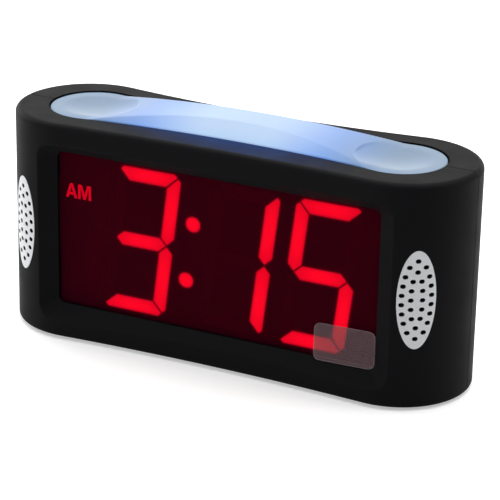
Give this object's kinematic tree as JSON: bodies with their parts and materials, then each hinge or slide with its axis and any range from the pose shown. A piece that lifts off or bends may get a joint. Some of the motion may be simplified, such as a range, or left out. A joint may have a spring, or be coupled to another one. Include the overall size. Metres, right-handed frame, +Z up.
{
  "type": "led alarm clock with night light",
  "caption": "Bedside LED alarm clock: waisted black casing, large red figures behind a tinted window, rocking night-light lens on top, oval side grilles, set buttons at the back.",
  "frame": {"origin": "middle of the footprint, on the surface that the clock stands on", "axes": "+X along the clock to the right as seen from the display, +Y from the display to the back, +Z up"},
  "size_m": [0.148, 0.0448, 0.0716],
  "materials": {
    "casing_black": "fine matt moulded finish",
    "lens_blue": "translucent, softly polished",
    "window_red": "clear tinted, polished",
    "reflector_dark": "matt",
    "bar_lit": "diffuse, lit from behind",
    "bar_unlit": "diffuse, not lit",
    "grille_silver": "satin silver",
    "inner_white": "matt white",
    "board_green": "lacquered board",
    "led_clear": "clear dome",
    "chip_black": "matt moulded",
    "button_grey": "fine matt",
    "screw_steel": "zinc plated",
    "core_iron": "laminated steel",
    "coil_copper": "enamelled copper wire under tape",
    "cell_label": "plain sleeve",
    "foot_rubber": "soft matt"
  },
  "bodies": {
    "casing": {"front_shell": "casing_black", "rear_shell": "casing_black", "light_tray": "inner_white", "light_board": "board_green", "night_light_leds": "led_clear", "lens_switches": "chip_black", "tray_screws": "screw_steel", "display_window": "window_red", "display_reflector": "reflector_dark", "hour_bars": "bar_lit", "minute_tens_bars": "bar_lit", "minute_units_bars": "bar_lit", "unlit_bars": "bar_unlit", "colon_dots": "bar_lit", "am_mark": "bar_lit", "pm_mark": "bar_unlit", "display_leds": "led_clear", "display_board": "board_green", "display_screws": "screw_steel", "left_grille": "grille_silver", "right_grille": "grille_silver", "main_board": "board_green", "clock_chip": "chip_black", "buzzer": "inner_white", "board_screws": "screw_steel", "set_switches": "chip_black", "alarm_switch_body": "chip_black", "dimmer_pot": "inner_white", "transformer_core": "core_iron", "transformer_coil": "coil_copper", "transformer_screws": "screw_steel", "cord_bush": "foot_rubber", "backup_cells": "cell_label", "battery_contacts": "screw_steel", "casing_screws": "screw_steel", "rubber_feet": "foot_rubber"},
    "lens": {"night_light_lens": "lens_blue"},
    "time_key": {"time_button": "button_grey"},
    "alarm_key": {"alarm_button": "button_grey"},
    "hour_key": {"hour_button": "button_grey"},
    "minute_key": {"minute_button": "button_grey"},
    "alarm_slide_knob": {"alarm_switch_knob": "button_grey"},
    "dimmer": {"dimmer_wheel": "button_grey"},
    "battery_cover": {"battery_door": "casing_black"}
  },
  "joints": [
    {"name": "lens_rock", "type": "hinge", "parent": "casing", "child": "lens", "pos_m": [0, 0.0003, 0.064], "axis": [0, 1, 0], "range_deg": [-0.8, 0.8], "stiffness_Nm_per_rad": 3},
    {"name": "time_press", "type": "slide", "parent": "casing", "child": "time_key", "axis": [0, -1, 0], "range_m": [0, 0.0006], "stiffness_N_per_m": 1500},
    {"name": "alarm_press", "type": "slide", "parent": "casing", "child": "alarm_key", "axis": [0, -1, 0], "range_m": [0, 0.0006], "stiffness_N_per_m": 1500},
    {"name": "hour_press", "type": "slide", "parent": "casing", "child": "hour_key", "axis": [0, -1, 0], "range_m": [0, 0.0006], "stiffness_N_per_m": 1500},
    {"name": "minute_press", "type": "slide", "parent": "casing", "child": "minute_key", "axis": [0, -1, 0], "range_m": [0, 0.0006], "stiffness_N_per_m": 1500},
    {"name": "alarm_slide", "type": "slide", "parent": "casing", "child": "alarm_slide_knob", "axis": [1, 0, 0], "range_m": [0, 0.003]},
    {"name": "dimmer_turn", "type": "hinge", "parent": "casing", "child": "dimmer", "pos_m": [-0.0305, 0.0122, 0.0501], "axis": [0, 0, 1], "range_deg": [-135, 135]},
    {"name": "battery_door_slide", "type": "slide", "parent": "casing", "child": "battery_cover", "axis": [0, 1, 0], "range_m": [0, 0.02]}
  ]
}
